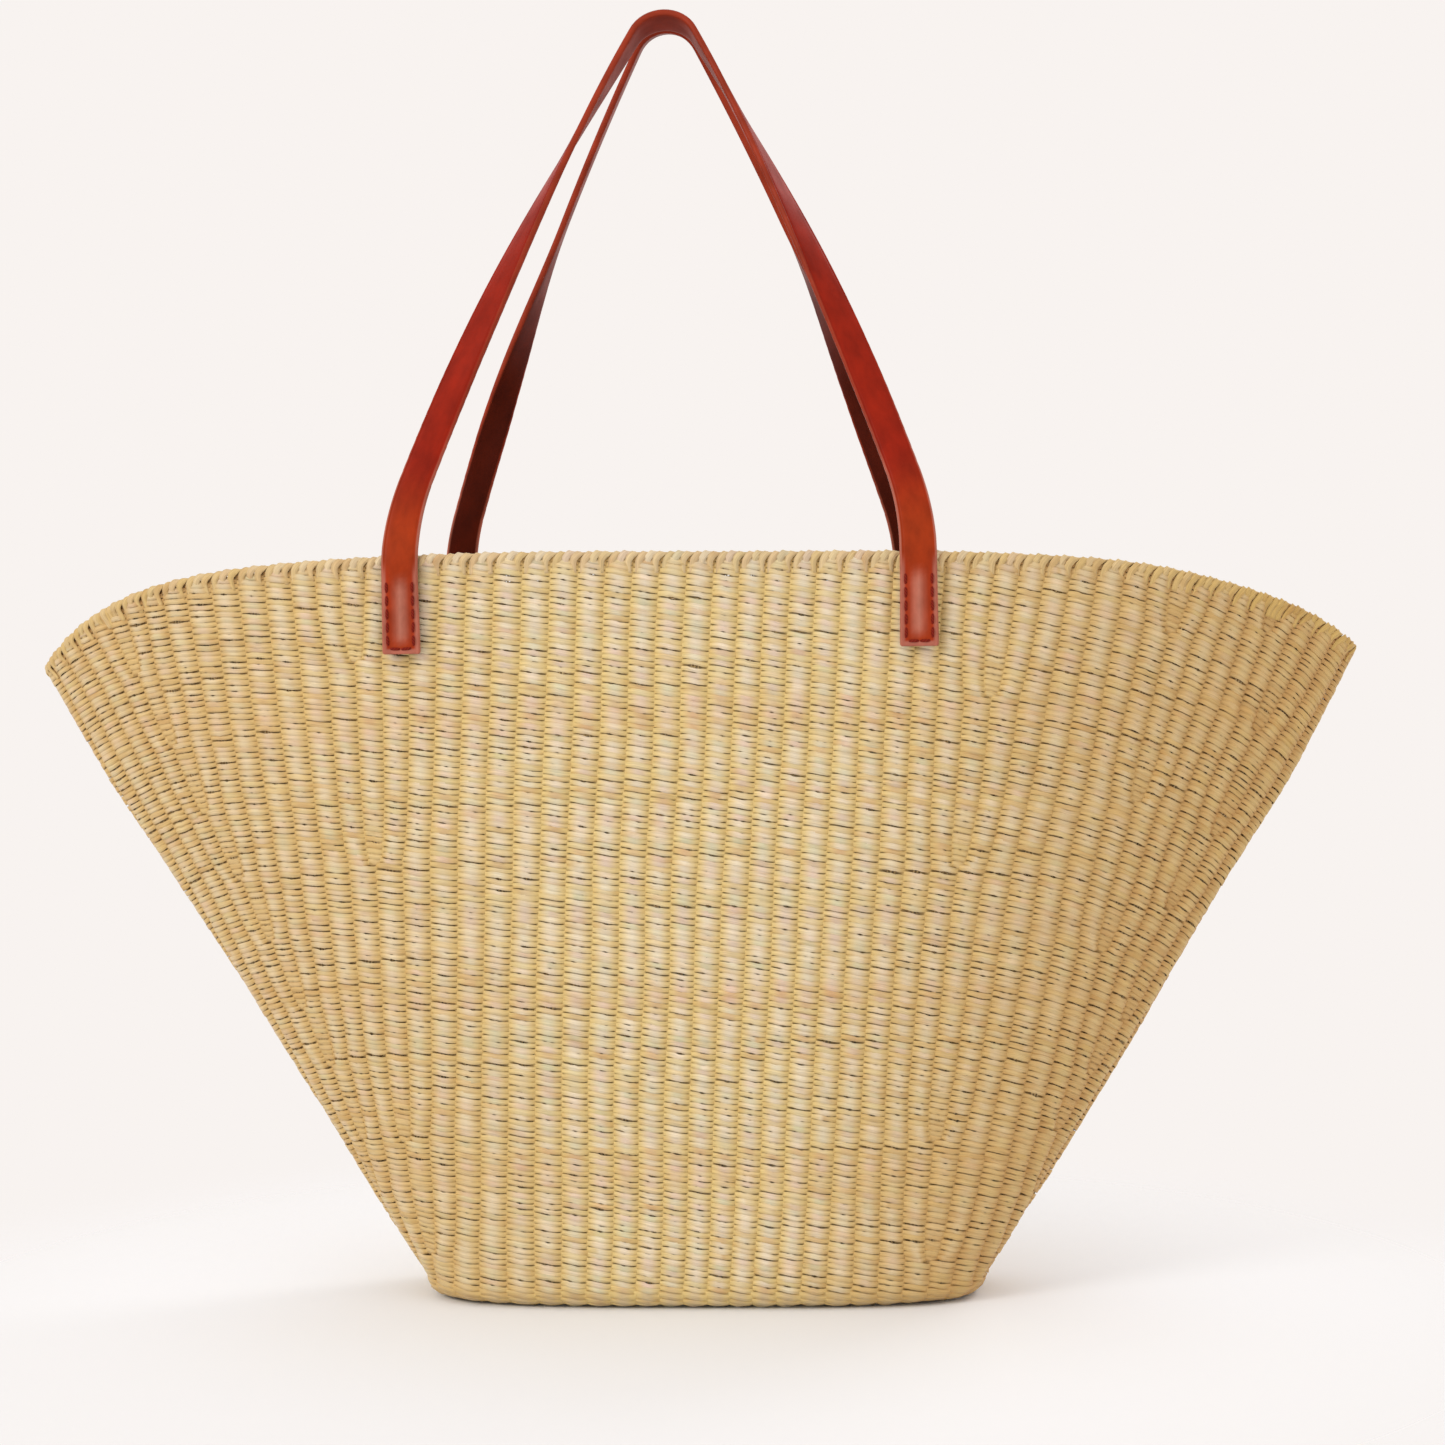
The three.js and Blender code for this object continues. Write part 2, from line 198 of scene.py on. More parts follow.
def surface(angle, run):
    """Points on the middle of the weave, run metres out from the middle of the base."""
    if run < BASE_RUN + TURN_RUN:
        flat, turn = max(0, BASE_RUN - run), max(0, run - BASE_RUN) / TURN_RADIUS
        x, y = base_outline(angle, flat + TURN_RADIUS * (1 - math.sin(turn)))
        z = MAT_HEIGHT + TURN_RADIUS * (1 - math.cos(turn))
        return np.stack([x + LEAN, y, np.full_like(x, z)], axis=1)
    t = (run - BASE_RUN - TURN_RUN) / WALL_RUN
    low_x, low_y = base_outline(angle)
    high_x, high_y, high_z = rim_outline(angle)
    out = slack(angle, t)
    x = low_x + (high_x - low_x) * t + out * signed_power(np.cos(angle), 3)
    x = x + LEAN * (1 - t * t)
    y = low_y + (high_y - low_y) * t + out * np.sin(angle)
    return np.stack([x, y, WALL_FOOT + (high_z - WALL_FOOT) * t], axis=1)


class Level:
    """One closed line round the basket at a constant run, evenly sampled."""

    def __init__(self, run):
        self.run = run
        fine = np.linspace(0, math.tau, 4 * LEVEL_SAMPLES + 1)
        here, above = surface(fine, run), surface(fine, run + 0.5 * MM)
        steps = np.linalg.norm(np.diff(here, axis=0), axis=1)
        length = np.concatenate([[0], np.cumsum(steps)])
        even = np.linspace(0, length[-1], LEVEL_SAMPLES + 1)[:-1]
        self.length = length[-1]
        self.point, raised = (np.stack([np.interp(even, length, axis) for axis in line.T], axis=1)
                              for line in (here, above))
        climb = raised - self.point
        along = unit(np.roll(self.point, -1, axis=0) - np.roll(self.point, 1, axis=0))
        self.out = self.smoothed(unit(np.cross(along, climb)))
        self.up = unit(np.cross(self.out, along))
        self.along = np.cross(self.up, self.out)

    @staticmethod
    def smoothed(field, reach=6):
        return unit(sum(np.roll(field, step, axis=0) for step in range(-reach, reach + 1)))

    def at(self, share, field):
        """A field's value at shares of the way round from the +X tip."""
        place = (np.asarray(share) % 1.0) * LEVEL_SAMPLES
        low = np.floor(place).astype(int) % LEVEL_SAMPLES
        mix = (place - np.floor(place))[:, None]
        return field[low] * (1 - mix) + field[(low + 1) % LEVEL_SAMPLES] * mix

    def place(self, share, out, up):
        """Points off the line, out of the wall and up its slope."""
        out, up = (np.broadcast_to(offset, np.shape(share))[:, None] for offset in (out, up))
        return (self.at(share, self.point) + self.at(share, self.out) * out
                + self.at(share, self.up) * up)


def unit(vectors):
    return vectors / np.maximum(np.linalg.norm(vectors, axis=-1, keepdims=True), 1e-12)


def weave_levels():
    """Base rows, the thick foot courses, then the wall's rows up to the border."""
    base = np.arange(FIRST_ROW, BASE_RUN, ROW_PITCH)
    foot = base[-1] + (ROW_PITCH + FOOT_PITCH) / 2 + FOOT_PITCH * np.arange(FOOT_ROWS)
    wall = np.arange(foot[-1] + (ROW_PITCH + FOOT_PITCH) / 2, FULL_RUN - BORDER, ROW_PITCH)
    levels = [Level(run) for run in np.concatenate([base, foot, wall])]
    return levels, len(base), len(base) + len(foot)


def stake_layout(levels):
    """For each level, the stakes' shares of the way round and their numbers.

    Stakes climb square to the rows with a slight lean and a sway of their own,
    even out their spacing, and a new one starts wherever a gap grows too wide.
    """
    shares = (np.arange(FIRST_STAKES) + 0.5) / FIRST_STAKES
    names = np.arange(FIRST_STAKES)
    phases = RNG.uniform(0, math.tau, (FIRST_STAKES, 2))
    limits = RNG.uniform(*SPLIT_LIMITS, FIRST_STAKES)
    rows = [(shares, names)]
    for level, above in zip(levels, levels[1:]):
        step = above.run - level.run
        start = level.at(shares, level.point)
        toward = above.at(shares, above.point) - start
        slip = np.einsum("ij,ij->i", toward, level.at(shares, level.along))
        sway = sum(slope * np.sin(level.run / length + phase)
                   for (slope, length), phase in zip(STAKE_SWAYS, phases.T))
        shares = shares + ((STAKE_DRIFT + sway) * step - slip) / above.length
        for _ in range(EVEN_PASSES):
            ahead = np.append(shares[1:], shares[0] + 1)
            behind = np.insert(shares[:-1], 0, shares[-1] - 1)
            shares = shares + EVENNESS * ((ahead + behind) / 2 - shares)
        gaps = np.append(shares[1:], shares[0] + 1) - shares
        wide = np.where(gaps * above.length > limits)[0]
        fresh = shares[wide] + gaps[wide] * RNG.uniform(*SPLIT_PLACES, len(wide))
        shares = np.insert(shares, wide + 1, fresh)
        names = np.insert(names, wide + 1, names.max() + 1 + np.arange(len(wide)))
        phases = np.insert(phases, wide + 1, RNG.uniform(0, math.tau, (len(wide), 2)), axis=0)
        limits = np.insert(limits, wide + 1, RNG.uniform(*SPLIT_LIMITS, len(wide)))
        rows.append((shares, names))
    return rows


def stake_ages(layout):
    """For each level, how many rows ago each of its stakes started."""
    first = {}
    return [np.array([row - first.setdefault(name, row) for name in names])
            for row, (_, names) in enumerate(layout)]


# ---- Strands into meshes ----
class Strands:
    """Collects swept strands as one mesh, each in its own strip of the UV square."""

    def __init__(self):
        self.points, self.quads, self.uvs, self.fibres, self.tints = [], [], [], [], []
        self.count = self.strips = self.faces = 0

    def add(self, rings, tint, length, key, nexts=None, strips=1):
        """rings run (ring, side, xyz), counter-clockwise about the way they go.

        nexts holds each ring's next one, or -1 at the strand's end. tint is a
        colour a ring or a point, and length is metres along the strand.
        """
        count, sides, _ = rings.shape
        if nexts is None:
            nexts = np.append(np.arange(1, count), -1)
        here = np.where(nexts >= 0)[0]
        side = np.arange(sides)
        turn = (side + 1) % sides
        this, following = here[:, None] * sides, nexts[here][:, None] * sides
        quads = np.stack([this + side, this + turn, following + turn, following + side], axis=2)
        per = count // strips
        u = np.repeat((here % per) / per, sides)
        v = np.tile(side / sides, len(here))
        strip = np.repeat(here // per, sides) + self.strips
        box = np.stack([u, v, u, v + 1 / sides, u + 1 / per, v + 1 / sides, u + 1 / per, v], axis=1)
        self.keep(quads.reshape(-1, 4), box, strip)
        if nexts[-1] < 0:
            self.cap(np.arange(sides)[::-1], 0.0)
            self.cap((count - 1) * sides + np.arange(sides), 1.0 - 1 / per)
        self.points.append(rings.reshape(-1, 3))
        self.tints.append(np.broadcast_to(tint if tint.ndim == 3 else tint[:, None], rings.shape))
        around = np.linalg.norm(np.roll(rings, -1, axis=1) - rings, axis=2)
        across = np.cumsum(around, axis=1) - around
        self.fibres.append(np.stack([
            np.broadcast_to(length[:, None], across.shape),
            across,
            np.full(across.shape, key * FIBRE_SHIFT % FIBRE_SHIFTS),
        ], axis=2).reshape(-1, 3))
        self.count += count * sides
        self.strips += strips

    def keep(self, quads, box, strip):
        self.quads.append(quads + self.count)
        self.uvs.append((box, strip))
        self.faces += len(quads)

    def cap(self, ring, u):
        """Closes an end with quads that fan out from the ring's first point."""
        fans = np.arange(1, len(ring) - 1, 2)
        quads = np.stack([np.full(len(fans), ring[0]), ring[fans], ring[fans + 1], ring[fans + 2]], 1)
        self.keep(quads, np.full((len(fans), 8), u), np.full(len(fans), self.strips))

    def mesh(self, name, lanes=1):
        """The mesh. Its UV strips lie in lanes side by side, so short strands take many."""
        quads = np.concatenate(self.quads).astype(np.int32)
        made = bpy.data.meshes.new(name)
        made.vertices.add(self.count)
        made.vertices.foreach_set("co", np.concatenate(self.points).astype(np.float32).ravel())
        made.loops.add(quads.size)
        made.loops.foreach_set("vertex_index", quads.ravel())
        made.polygons.add(len(quads))
        made.polygons.foreach_set("loop_start", np.arange(0, quads.size, 4, dtype=np.int32))
        made.update(calc_edges=True)
        made.polygons.foreach_set("use_smooth", np.ones(len(quads), bool))
        uv = np.concatenate([box for box, _ in self.uvs]).reshape(-1, 4, 2)
        strip = np.concatenate([strip for _, strip in self.uvs])[:, None]
        rows = math.ceil(self.strips / lanes)
        end, side = STRIP_MARGINS
        u = (strip % lanes + end + (1 - 2 * end) * uv[:, :, 0]) / lanes
        v = (strip // lanes + side + (1 - 2 * side) * uv[:, :, 1]) / rows
        layer = made.uv_layers.new(name="OFBake")
        layer.data.foreach_set("uv", np.stack([u, v], axis=2).astype(np.float32).ravel())
        fibre = made.attributes.new("fibre", "FLOAT_VECTOR", "POINT")
        fibre.data.foreach_set("vector", np.concatenate(self.fibres).astype(np.float32).ravel())
        colours = np.concatenate([tint.reshape(-1, 3) for tint in self.tints])
        colours = np.concatenate([colours, np.ones((self.count, 1))], axis=1)
        tint = made.attributes.new("tint", "FLOAT_COLOR", "POINT")
        tint.data.foreach_set("color", colours.astype(np.float32).ravel())
        made.update()
        return made


def sweep(path, wide, thin, normal, sides=6):
    """Flat rings along a path: half width wide across it, half thickness thin along normal."""
    along = unit(np.gradient(path, axis=0))
    across = unit(np.cross(normal, along))
    normal = np.cross(along, across)
    turn = math.tau * (np.arange(sides) + 0.5) / sides
    wide, thin = (np.broadcast_to(half, len(path))[:, None, None] for half in (wide, thin))
    return (path[:, None] + wide * across[:, None] * np.cos(turn)[:, None]
            + thin * normal[:, None] * np.sin(turn)[:, None])


def path_length(path):
    return np.append(0, np.cumsum(np.linalg.norm(np.diff(path, axis=0), axis=1)))


def add_object(name, data):
    made = bpy.data.objects.new(name, data)
    bpy.context.collection.objects.link(made)
    return made


def piece(name, mesh, material, nodes=(), body="bag"):
    """Adds a mesh to the scene, on its body and in place of its CAD nodes."""
    made = add_object(name, mesh)
    mesh.materials.append(material)
    if body:
        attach(made, body)
    if nodes:
        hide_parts(*nodes)
    return made


# ---- Straw colours, linear ----
STRAWS = np.array([
    [0.78, 0.67, 0.49],  # pale cream
    [0.74, 0.59, 0.45],  # pinkish tan
    [0.70, 0.63, 0.43],  # greenish
    [0.74, 0.60, 0.36],  # warm yellow
    [0.66, 0.47, 0.25],  # tan
])
STRAW_SHARES = [0.47, 0.16, 0.12, 0.19, 0.06]
STRAW_SPLICE = 0.22  # metres of one straw before the next is spliced in
STRAW_TONES = (0.93, 1.05)
STRAW_HUE = np.array([0.02, 0.0, 0.015])  # how much the colour changes from float to float
VALLEY_SHADE_OCHRE = np.array([0.74, 0.55, 0.21])  # painted shade in the valleys between the ribs, where the strands dive in
END_SHADE_TAN = np.array([0.62, 0.41, 0.13])  # painted shade at the bag's ends, heavier at the right
DEEP_SHADE_BROWN = np.array([0.50, 0.24, 0.09])  # deeper painted shade in the valleys near the rim and at the ends
FOOT_TAN = np.array([0.64, 0.48, 0.26])
STAKE_TAN = np.array([0.62, 0.45, 0.22])
# How strong the painted valley shade is, how wide, and how steeply it fades onto the ribs.
VALLEY_SHADE, VALLEY_SHADE_WIDTH, VALLEY_SHADE_POWER = 0.9, 1.25, 1.6
# Deeper painted shade in the valleys just below the rim: how strong, and how far down it reaches.
RIM_VALLEY_SHADE, RIM_VALLEY_SHADE_REACH = 0.45, 5 * MM
END_SHADE_AMOUNT, END_VALLEY_SHADE_AMOUNT = 0.85, 0.50  # how strong the painted end shade is, and its deeper shade in the valleys
# Side of the bag, most of the painted end shade, and where it starts and how fast it grows.
END_SHADE_REACHES = [(1, 0.80, 0.25, 0.6), (1, 0.25, 0.8, 0.2), (-1, 0.55, 0.25, 0.6)]
BROWN_BAND = np.array([0.72, 0.42, 0.26])
# Height, half width and strength of each browner lot.
BANDS = [(295 * MM, 9 * MM, 0.30), (157 * MM, 7 * MM, 0.22), (70 * MM, 8 * MM, 0.30)]


def tinted(colour, toward, amount):
    return colour + (toward - colour) * amount


def spliced_colours(along, length):
    """A colour for each place along a strand spliced from many straws."""
    count = int(length / STRAW_SPLICE) + 2
    ends = np.sort(RNG.uniform(0, length, count))
    colours = STRAWS[RNG.choice(len(STRAWS), count + 1, p=STRAW_SHARES)]
    return (colours * RNG.uniform(*STRAW_TONES, (count + 1, 1)))[np.searchsorted(ends, along)]


def banded(colours, height):
    """Tints the rows that were woven from a browner lot of straw."""
    amount = sum(much * np.exp(-((height - at) / width) ** 2) for at, width, much in BANDS)
    return tinted(colours, BROWN_BAND, amount[:, None])


def gaps_open(stakes, part):
    """How open the gap over a row is at each ring: a few dots over some of its floats."""
    loose = RNG.normal(0, 1, stakes)
    loose = loose + GAP_RUN * (np.roll(loose, 1) + np.roll(loose, -1)) + GAP_ROWS * RNG.normal()
    gappy = loose > np.quantile(loose, 1 - GAP_SHARE)
    dots = RNG.uniform(0, 1, stakes * len(PHASES)) < DOT_SHARE
    return np.repeat(gappy, len(PHASES)) * dots * np.cos(math.pi * part) ** 2


def painted_end_shade(level, share):
    """How much painted shade lies on the weave towards the ends, by the place along the basket."""
    along = level.at(share, level.point)[:, :1] / level.point[:, 0].max()
    return sum(most * np.clip((side * along - start) / reach, 0, 1)
               for side, most, start, reach in END_SHADE_REACHES)


# ---- Twined rows ----
def strand_tint(straws, level, share, part, settled, coarse):
    """The straws' colours, with painted shade in the valleys between ribs, at the ends and near the
    rim.
    """
    # Painted shade towards the ends of the bag.
    tan_and_end_shade = painted_end_shade(level, share)
    # Painted shade deepens in the valleys near the rim.
    rim_shade = RIM_VALLEY_SHADE * math.exp(-(FULL_RUN - BORDER - level.run) / RIM_VALLEY_SHADE_REACH)
    # Painted shade in the valleys, full over young stakes that hardly show yet.
    valley_shade = np.clip(VALLEY_SHADE_WIDTH * (1 - np.abs(np.cos(math.pi * part)) ** VALLEY_SHADE_POWER), 0, 1)
    valley_shade = VALLEY_SHADE * np.maximum(valley_shade, 1 - settled)[:, None]
    colour = tinted(straws, FOOT_TAN, COARSE_TAN * coarse)
    colour = tinted(tinted(colour, VALLEY_SHADE_OCHRE, valley_shade), END_SHADE_TAN, END_SHADE_AMOUNT * tan_and_end_shade)
    return tinted(colour, DEEP_SHADE_BROWN, (rim_shade + END_VALLEY_SHADE_AMOUNT * tan_and_end_shade) * valley_shade)


def twined_row(strands, level, shares, ages, row, coarse, under):
    """Two strands round the basket that cross between every two stakes.

    A young stake hardly shows yet. coarse is 0 on the wall and 1 on the foot's thick,
    plain courses. under is how open the gap below the row is, and the gap above it is
    returned.
    """
    stakes = len(shares)
    gaps = np.append(shares[1:], shares[0] + 1) - shares
    share = (shares[:, None] + gaps[:, None] * PHASES).ravel()
    part = np.tile(PHASES, stakes)
    along = share * level.length
    seed = RNG.uniform(0, math.tau, 2)
    wander = sum(np.sin(along / length + phase) for length, phase in zip(WANDER_LENGTHS, seed))
    gap = gaps_open(stakes, part) * (1 - coarse)
    if under is None or len(under) != len(gap):
        under = np.zeros(len(gap))
    nearest = np.where(part < 0.5, 0, 1) + np.repeat(np.arange(stakes), len(PHASES))
    settled = np.clip((ages + 1) / SETTLE_ROWS, YOUNGEST, 1)[nearest % stakes]
    tightness = np.clip(gaps * level.length / STAKE_PITCH, TIGHTEST, 1)
    sign = np.repeat(np.where(np.arange(stakes) % 2, -1.0, 1.0), len(PHASES))
    lift = FLOAT_LIFT * (1 + (COARSE_LIFT - 1) * coarse)
    swing = sign * signed_power(np.cos(math.pi * part), SWING_POWER) * lift * settled
    rise = sign * np.sin(math.pi * part) * np.repeat(tightness, len(PHASES)) * TWIST_RISE
    crossing = np.sin(math.pi * part) ** 2
    height = FLOAT_HALF + (CROSS_HALF - FLOAT_HALF) * crossing**2
    height = height * (1 + (COARSE_HALF - 1) * coarse)
    slope, normal = level.at(share, level.up), level.at(share, level.out)
    thin = normal * STRAW_THIN * (1 + coarse)
    shade = np.ones((len(gap), 5, 1))
    shade[:, 0, 0] = 1 - GAP_DARK * gap
    shade[:, 3, 0] = 1 - GAP_DARK * under
    rings, tints = [], []
    for side in (1.0, -1.0):
        loose = RNG.normal(0, 1, (4, stakes + 1))
        loose[:, -1] = loose[:, 0]
        loose = loose[:, nearest]
        up = ROW_WANDER * wander - side * rise + LOOSE_UP * loose[1] * (1 - crossing)
        centre = level.place(share, side * swing + LOOSE_OUT * loose[0], up)
        half = slope * (height * (1 + LOOSE_HALF * loose[2]))[:, None]
        top, low = (half * (1 - GAP_NARROW * near)[:, None] for near in (gap, under))
        rings.append(np.stack([centre + top, centre + FLAT_FACE * top + thin,
                               centre - FLAT_FACE * low + thin, centre - low, centre - thin], axis=1))
        straws = spliced_colours(along % level.length, level.length)
        straws = banded(straws * (1 + loose[3][:, None] * STRAW_HUE), centre[:, 2])
        tints.append(strand_tint(straws, level, share, part, settled, coarse)[:, None] * shade)
    count = len(share)
    nexts = np.arange(1, 2 * count + 1)
    ends = [count, 0] if stakes % 2 else [0, count]
    nexts[count - 1], nexts[2 * count - 1] = ends
    lengths = np.concatenate([along, along + level.length])
    strands.add(np.concatenate(rings), np.concatenate(tints), lengths, row, nexts, strips=2)
    return gap


def twined_bands(levels, layout, first, last, name, material, nodes, coarse=0.0):
    """Rows first to last as one or more pieces, none of them too heavy."""
    strands, made, gap = Strands(), [], None
    ages = stake_ages(layout)
    for row in range(first, last):
        gap = twined_row(strands, levels[row], layout[row][0], ages[row], row, coarse, gap)
        if strands.faces > MAX_QUADS or row == last - 1:
            number = f"_{len(made) + 1}" if made or row < last - 1 else ""
            made.append(piece(name + number, strands.mesh(name + number), material, nodes))
            strands = Strands()
    return made


# ---- Stakes ----
def stake_tubes(levels, layout):
    """Every stake's three straws, from the row where it starts up into the border."""
    strands = Strands()
    for name in range(layout[-1][1].max() + 1):
        rows = [row for row, (_, names) in enumerate(layout) if name in names][::STAKE_STEP]
        if len(rows) < 3:
            continue
        shares = [layout[row][0][layout[row][1] == name] for row in rows]
        normal = np.concatenate([levels[row].at(share, levels[row].out)
                                 for row, share in zip(rows, shares)])
        taper = np.minimum(1, 0.4 + np.arange(len(rows)) / 4)
        for straw in range(STAKE_STRAWS):
            aside = (straw - (STAKE_STRAWS - 1) / 2) * STAKE_SPREAD
            path = np.concatenate([levels[row].place(share + aside / levels[row].length, 0, 0)
                                   for row, share in zip(rows, shares)])
            rings = sweep(path, STAKE_STRAW * taper, STAKE_DEEP * taper, normal, sides=4)
            tint = np.tile(STAKE_TAN * RNG.uniform(*STAKE_TONES), (len(path), 1))
            strands.add(rings, tint, path_length(path), name)
    return strands.mesh("stakes", lanes=6)


# ---- Rolled rim ----
# One stake's end over the rim: stakes passed, out of the wall, up from the top row in mm.
TUCK = np.array([
    [0.00, 0.9, -6.0],
    [0.00, 1.2, -2.0],
    [0.03, 1.9, 0.6],
    [0.10, 2.3, 2.2],
    [0.20, 1.7, 3.6],
    [0.35, 0.2, 4.1],
    [0.50, -1.5, 3.2],
    [0.62, -2.3, 1.0],
    [0.72, -2.1, -1.5],
    [0.80, -1.4, -4.0],
])
TUCK_STEPS = 26
TUCKED_STRAWS = 3
TUCK_SPREAD = 0.30  # between them, in stakes
TUCK_HALF_WIDTH, TUCK_HALF_THICK = 2.0 * MM, 0.55 * MM
TUCK_ROUND = 0.4  # how much lower the outer ones lie, in mm
TUCK_LOOSE = (0.2, 0.1)  # how loosely each lies, out and down, in mm
TUCK_CLEARANCE = 0.2 * MM  # from their middles up to the basket's top
TUCK_TONES = (0.92, 1.05)
TUCK_SHARES = [0.5, 0.2, 0.1, 0.2]  # of the first four straw colours
# Painted shade on the tucked straws, heaviest on the two outer ones, which lie lower between the loops.
TUCK_SHADE_BROWN = 0.7 * VALLEY_SHADE_OCHRE + 0.3 * DEEP_SHADE_BROWN
TUCK_SHADE_MIDDLE, TUCK_SHADE_SIDE = 0.10, 0.45
TUCK_TAN = 0.15


def smooth_curve(points, steps):
    """A Catmull-Rom curve through the points."""
    ends = np.vstack([2 * points[0] - points[1], points, 2 * points[-1] - points[-2]])
    place = np.linspace(0, len(points) - 1 - 1e-9, steps)
    index = place.astype(int)
    t = (place - index)[:, None]
    a, b, c, d = (ends[index + offset] for offset in range(4))
    return 0.5 * (2 * b + (c - a) * t + (2 * a - 5 * b + 4 * c - d) * t**2
                  + (3 * b - a - 3 * c + d) * t**3)


def rim_rolls(level, shares):
    """Each stake's three straws, side by side, bent over the rim and tucked down inside."""
    strands = Strands()
    route = smooth_curve(TUCK, TUCK_STEPS)
    span = np.linspace(0, 1, TUCK_STEPS)
    spread = np.sin(math.pi * np.minimum(1, span * 1.15))
    around = np.concatenate([shares, shares + 1])
    for stake in range(len(shares)):
        tone = RNG.uniform(*TUCK_TONES)
        for straw in range(TUCKED_STRAWS):
            offset = straw - (TUCKED_STRAWS - 1) / 2
            place = np.interp((stake + route[:, 0] + TUCK_SPREAD * offset) % len(shares),
                              np.arange(len(around)), around)
            out = (route[:, 1] + TUCK_LOOSE[0] * RNG.normal() * spread) * MM
            lower = TUCK_ROUND * abs(offset) + TUCK_LOOSE[1] * RNG.uniform()
            up = (route[:, 2] - lower * spread) * MM
            path = level.place(place, out, np.minimum(up, BORDER - TUCK_CLEARANCE))
            lean = np.clip(route[:, 1:2] / 2, -1, 1)
            normal = level.at(place, level.out) * lean + level.at(place, level.up) * (1 - abs(lean))
            rings = sweep(path, TUCK_HALF_WIDTH, TUCK_HALF_THICK, unit(normal))
            colour = STRAWS[RNG.choice(len(TUCK_SHARES), p=TUCK_SHARES)] * tone
            # Painted shade: browner on the outer straws, which lie lower.
            loop_shade = TUCK_SHADE_MIDDLE + TUCK_SHADE_SIDE * abs(offset)
            # A plain tan on every tucked straw, with painted shade added towards the bag's ends.
            tan_and_end_shade = TUCK_TAN + painted_end_shade(level, place)
            tint = tinted(tinted(colour, TUCK_SHADE_BROWN, loop_shade), END_SHADE_TAN, np.minimum(tan_and_end_shade, 1))
            strands.add(rings, tint, path_length(path), stake * TUCKED_STRAWS + straw)
    return strands.mesh("rolled_rim", lanes=6)


# ---- Straps, as in the CAD model ----
STRAP_WIDTH = TAB_HIGH[0] - TAB_LOW[0]
STRAP_CENTRE = (TAB_HIGH[0] + LEFT_TAB_LOW[0]) / 2
STRAP_MIDDLE = np.array([STRAP_CENTRE, 0, 0])
STRAP_SPACING = (TAB_HIGH[0] + TAB_LOW[0]) / 2 - STRAP_CENTRE
LOOP_WIDTH = 16.4 * MM
TAPER_LENGTH = 50 * MM
TAB_SPREAD = 0.04  # the sewn ends are pressed a little wider
STRAP_THICK = 3.5 * MM
HINGE_Y, HINGE_Z = -HINGE["pos_m"][1], HINGE["pos_m"][2]
TAB_LENGTH = 46 * MM
TAB_TOP_GAP = 1.6 * MM
TAB_LEAN = math.asin((TAB_HIGH[1] - TAB_LOW[1] - STRAP_THICK) / (TAB_LENGTH - TAB_TOP_GAP))
LEG_BEND_RADIUS = 140 * MM
LOW_SLOPE = math.radians(18)
HIGH_SLOPE = math.radians(27.5)
CROWN_RADIUS = 18 * MM
LEG_RADIUS = ((STRAP_SPACING - LEG_BEND_RADIUS * (1 - math.cos(LOW_SLOPE))
               - CROWN_RADIUS * math.cos(HIGH_SLOPE))
              / (math.cos(LOW_SLOPE) - math.cos(HIGH_SLOPE)))
LOOP_ARCS = [
    (LEG_BEND_RADIUS, 0.0, LOW_SLOPE),
    (LEG_RADIUS, LOW_SLOPE, HIGH_SLOPE),
    (CROWN_RADIUS, HIGH_SLOPE, math.pi / 2),
]
HALF_LOOP = sum(radius * (high - low) for radius, low, high in LOOP_ARCS)
TWIST_START = 45 * MM
BACK_TWIST_END = 215 * MM
CROWN_GAP = 0.4 * MM
KINK_REACH = 7 * MM  # the bend at the hinge is eased this far each way
STATION_STEP = 2.5 * MM
CREASE_INSET = 1.7 * MM
CREASE_DEPTH = 0.28 * MM
CREASE_WIDTH = 0.4 * MM
CROWN_BULGE = 0.35 * MM
EDGE_ROUND = 1.1 * MM

LEATHER = np.array([0.270, 0.013, 0.003])
LEATHER_WARM = np.array([0.330, 0.034, 0.005])
# A pinkish edge finish, with a painted highlight along the edges and the sewn ends' borders.
LEATHER_EDGE_AND_HIGHLIGHT = np.array([0.440, 0.135, 0.090])
LEATHER_LOOP_EDGE = np.array([0.300, 0.036, 0.014])
LEATHER_CROWN = np.array([0.230, 0.022, 0.007])
LEATHER_PRESSED = np.array([0.360, 0.030, 0.006])
# A painted highlight down the middle of the sewn ends.
LEATHER_HIGHLIGHT = np.array([0.520, 0.190, 0.130])
# The flesh side's own darker colour, deepened by painted shade low on the legs.
LEATHER_BACK_AND_SHADE = np.array([0.075, 0.008, 0.003])
# Where each tint begins and is complete: up from the hinge,
LOOP_EDGE_REACH = (15 * MM, 90 * MM)
CROWN_REACH = (110 * MM, 250 * MM)
WARM_REACH = (10 * MM, 55 * MM)  # here it dies away
# down from the hinge,
SEWN_REACH = (0, 10 * MM)
# the painted highlight down the sewn end,
HIGHLIGHT_START, HIGHLIGHT_END = (6 * MM, 16 * MM), (36 * MM, 43 * MM)
END_BORDER = (TAB_LENGTH - 3 * MM, TAB_LENGTH - 2.2 * MM)
# and out from the middle, in half widths.
SIDE_BORDER = (0.72, 0.80)
HIGHLIGHT_MIDDLE, HIGHLIGHT_HALF, HIGHLIGHT_TINT = -0.05, 0.30, 0.9
PRESSED_MIDDLE, PRESSED_HALF, PRESSED_TINT = 0.66, 0.12, 0.7


def ease(value, low, high):
    t = min(max((value - low) / (high - low), 0), 1)
    return t * t * (3 - 2 * t)


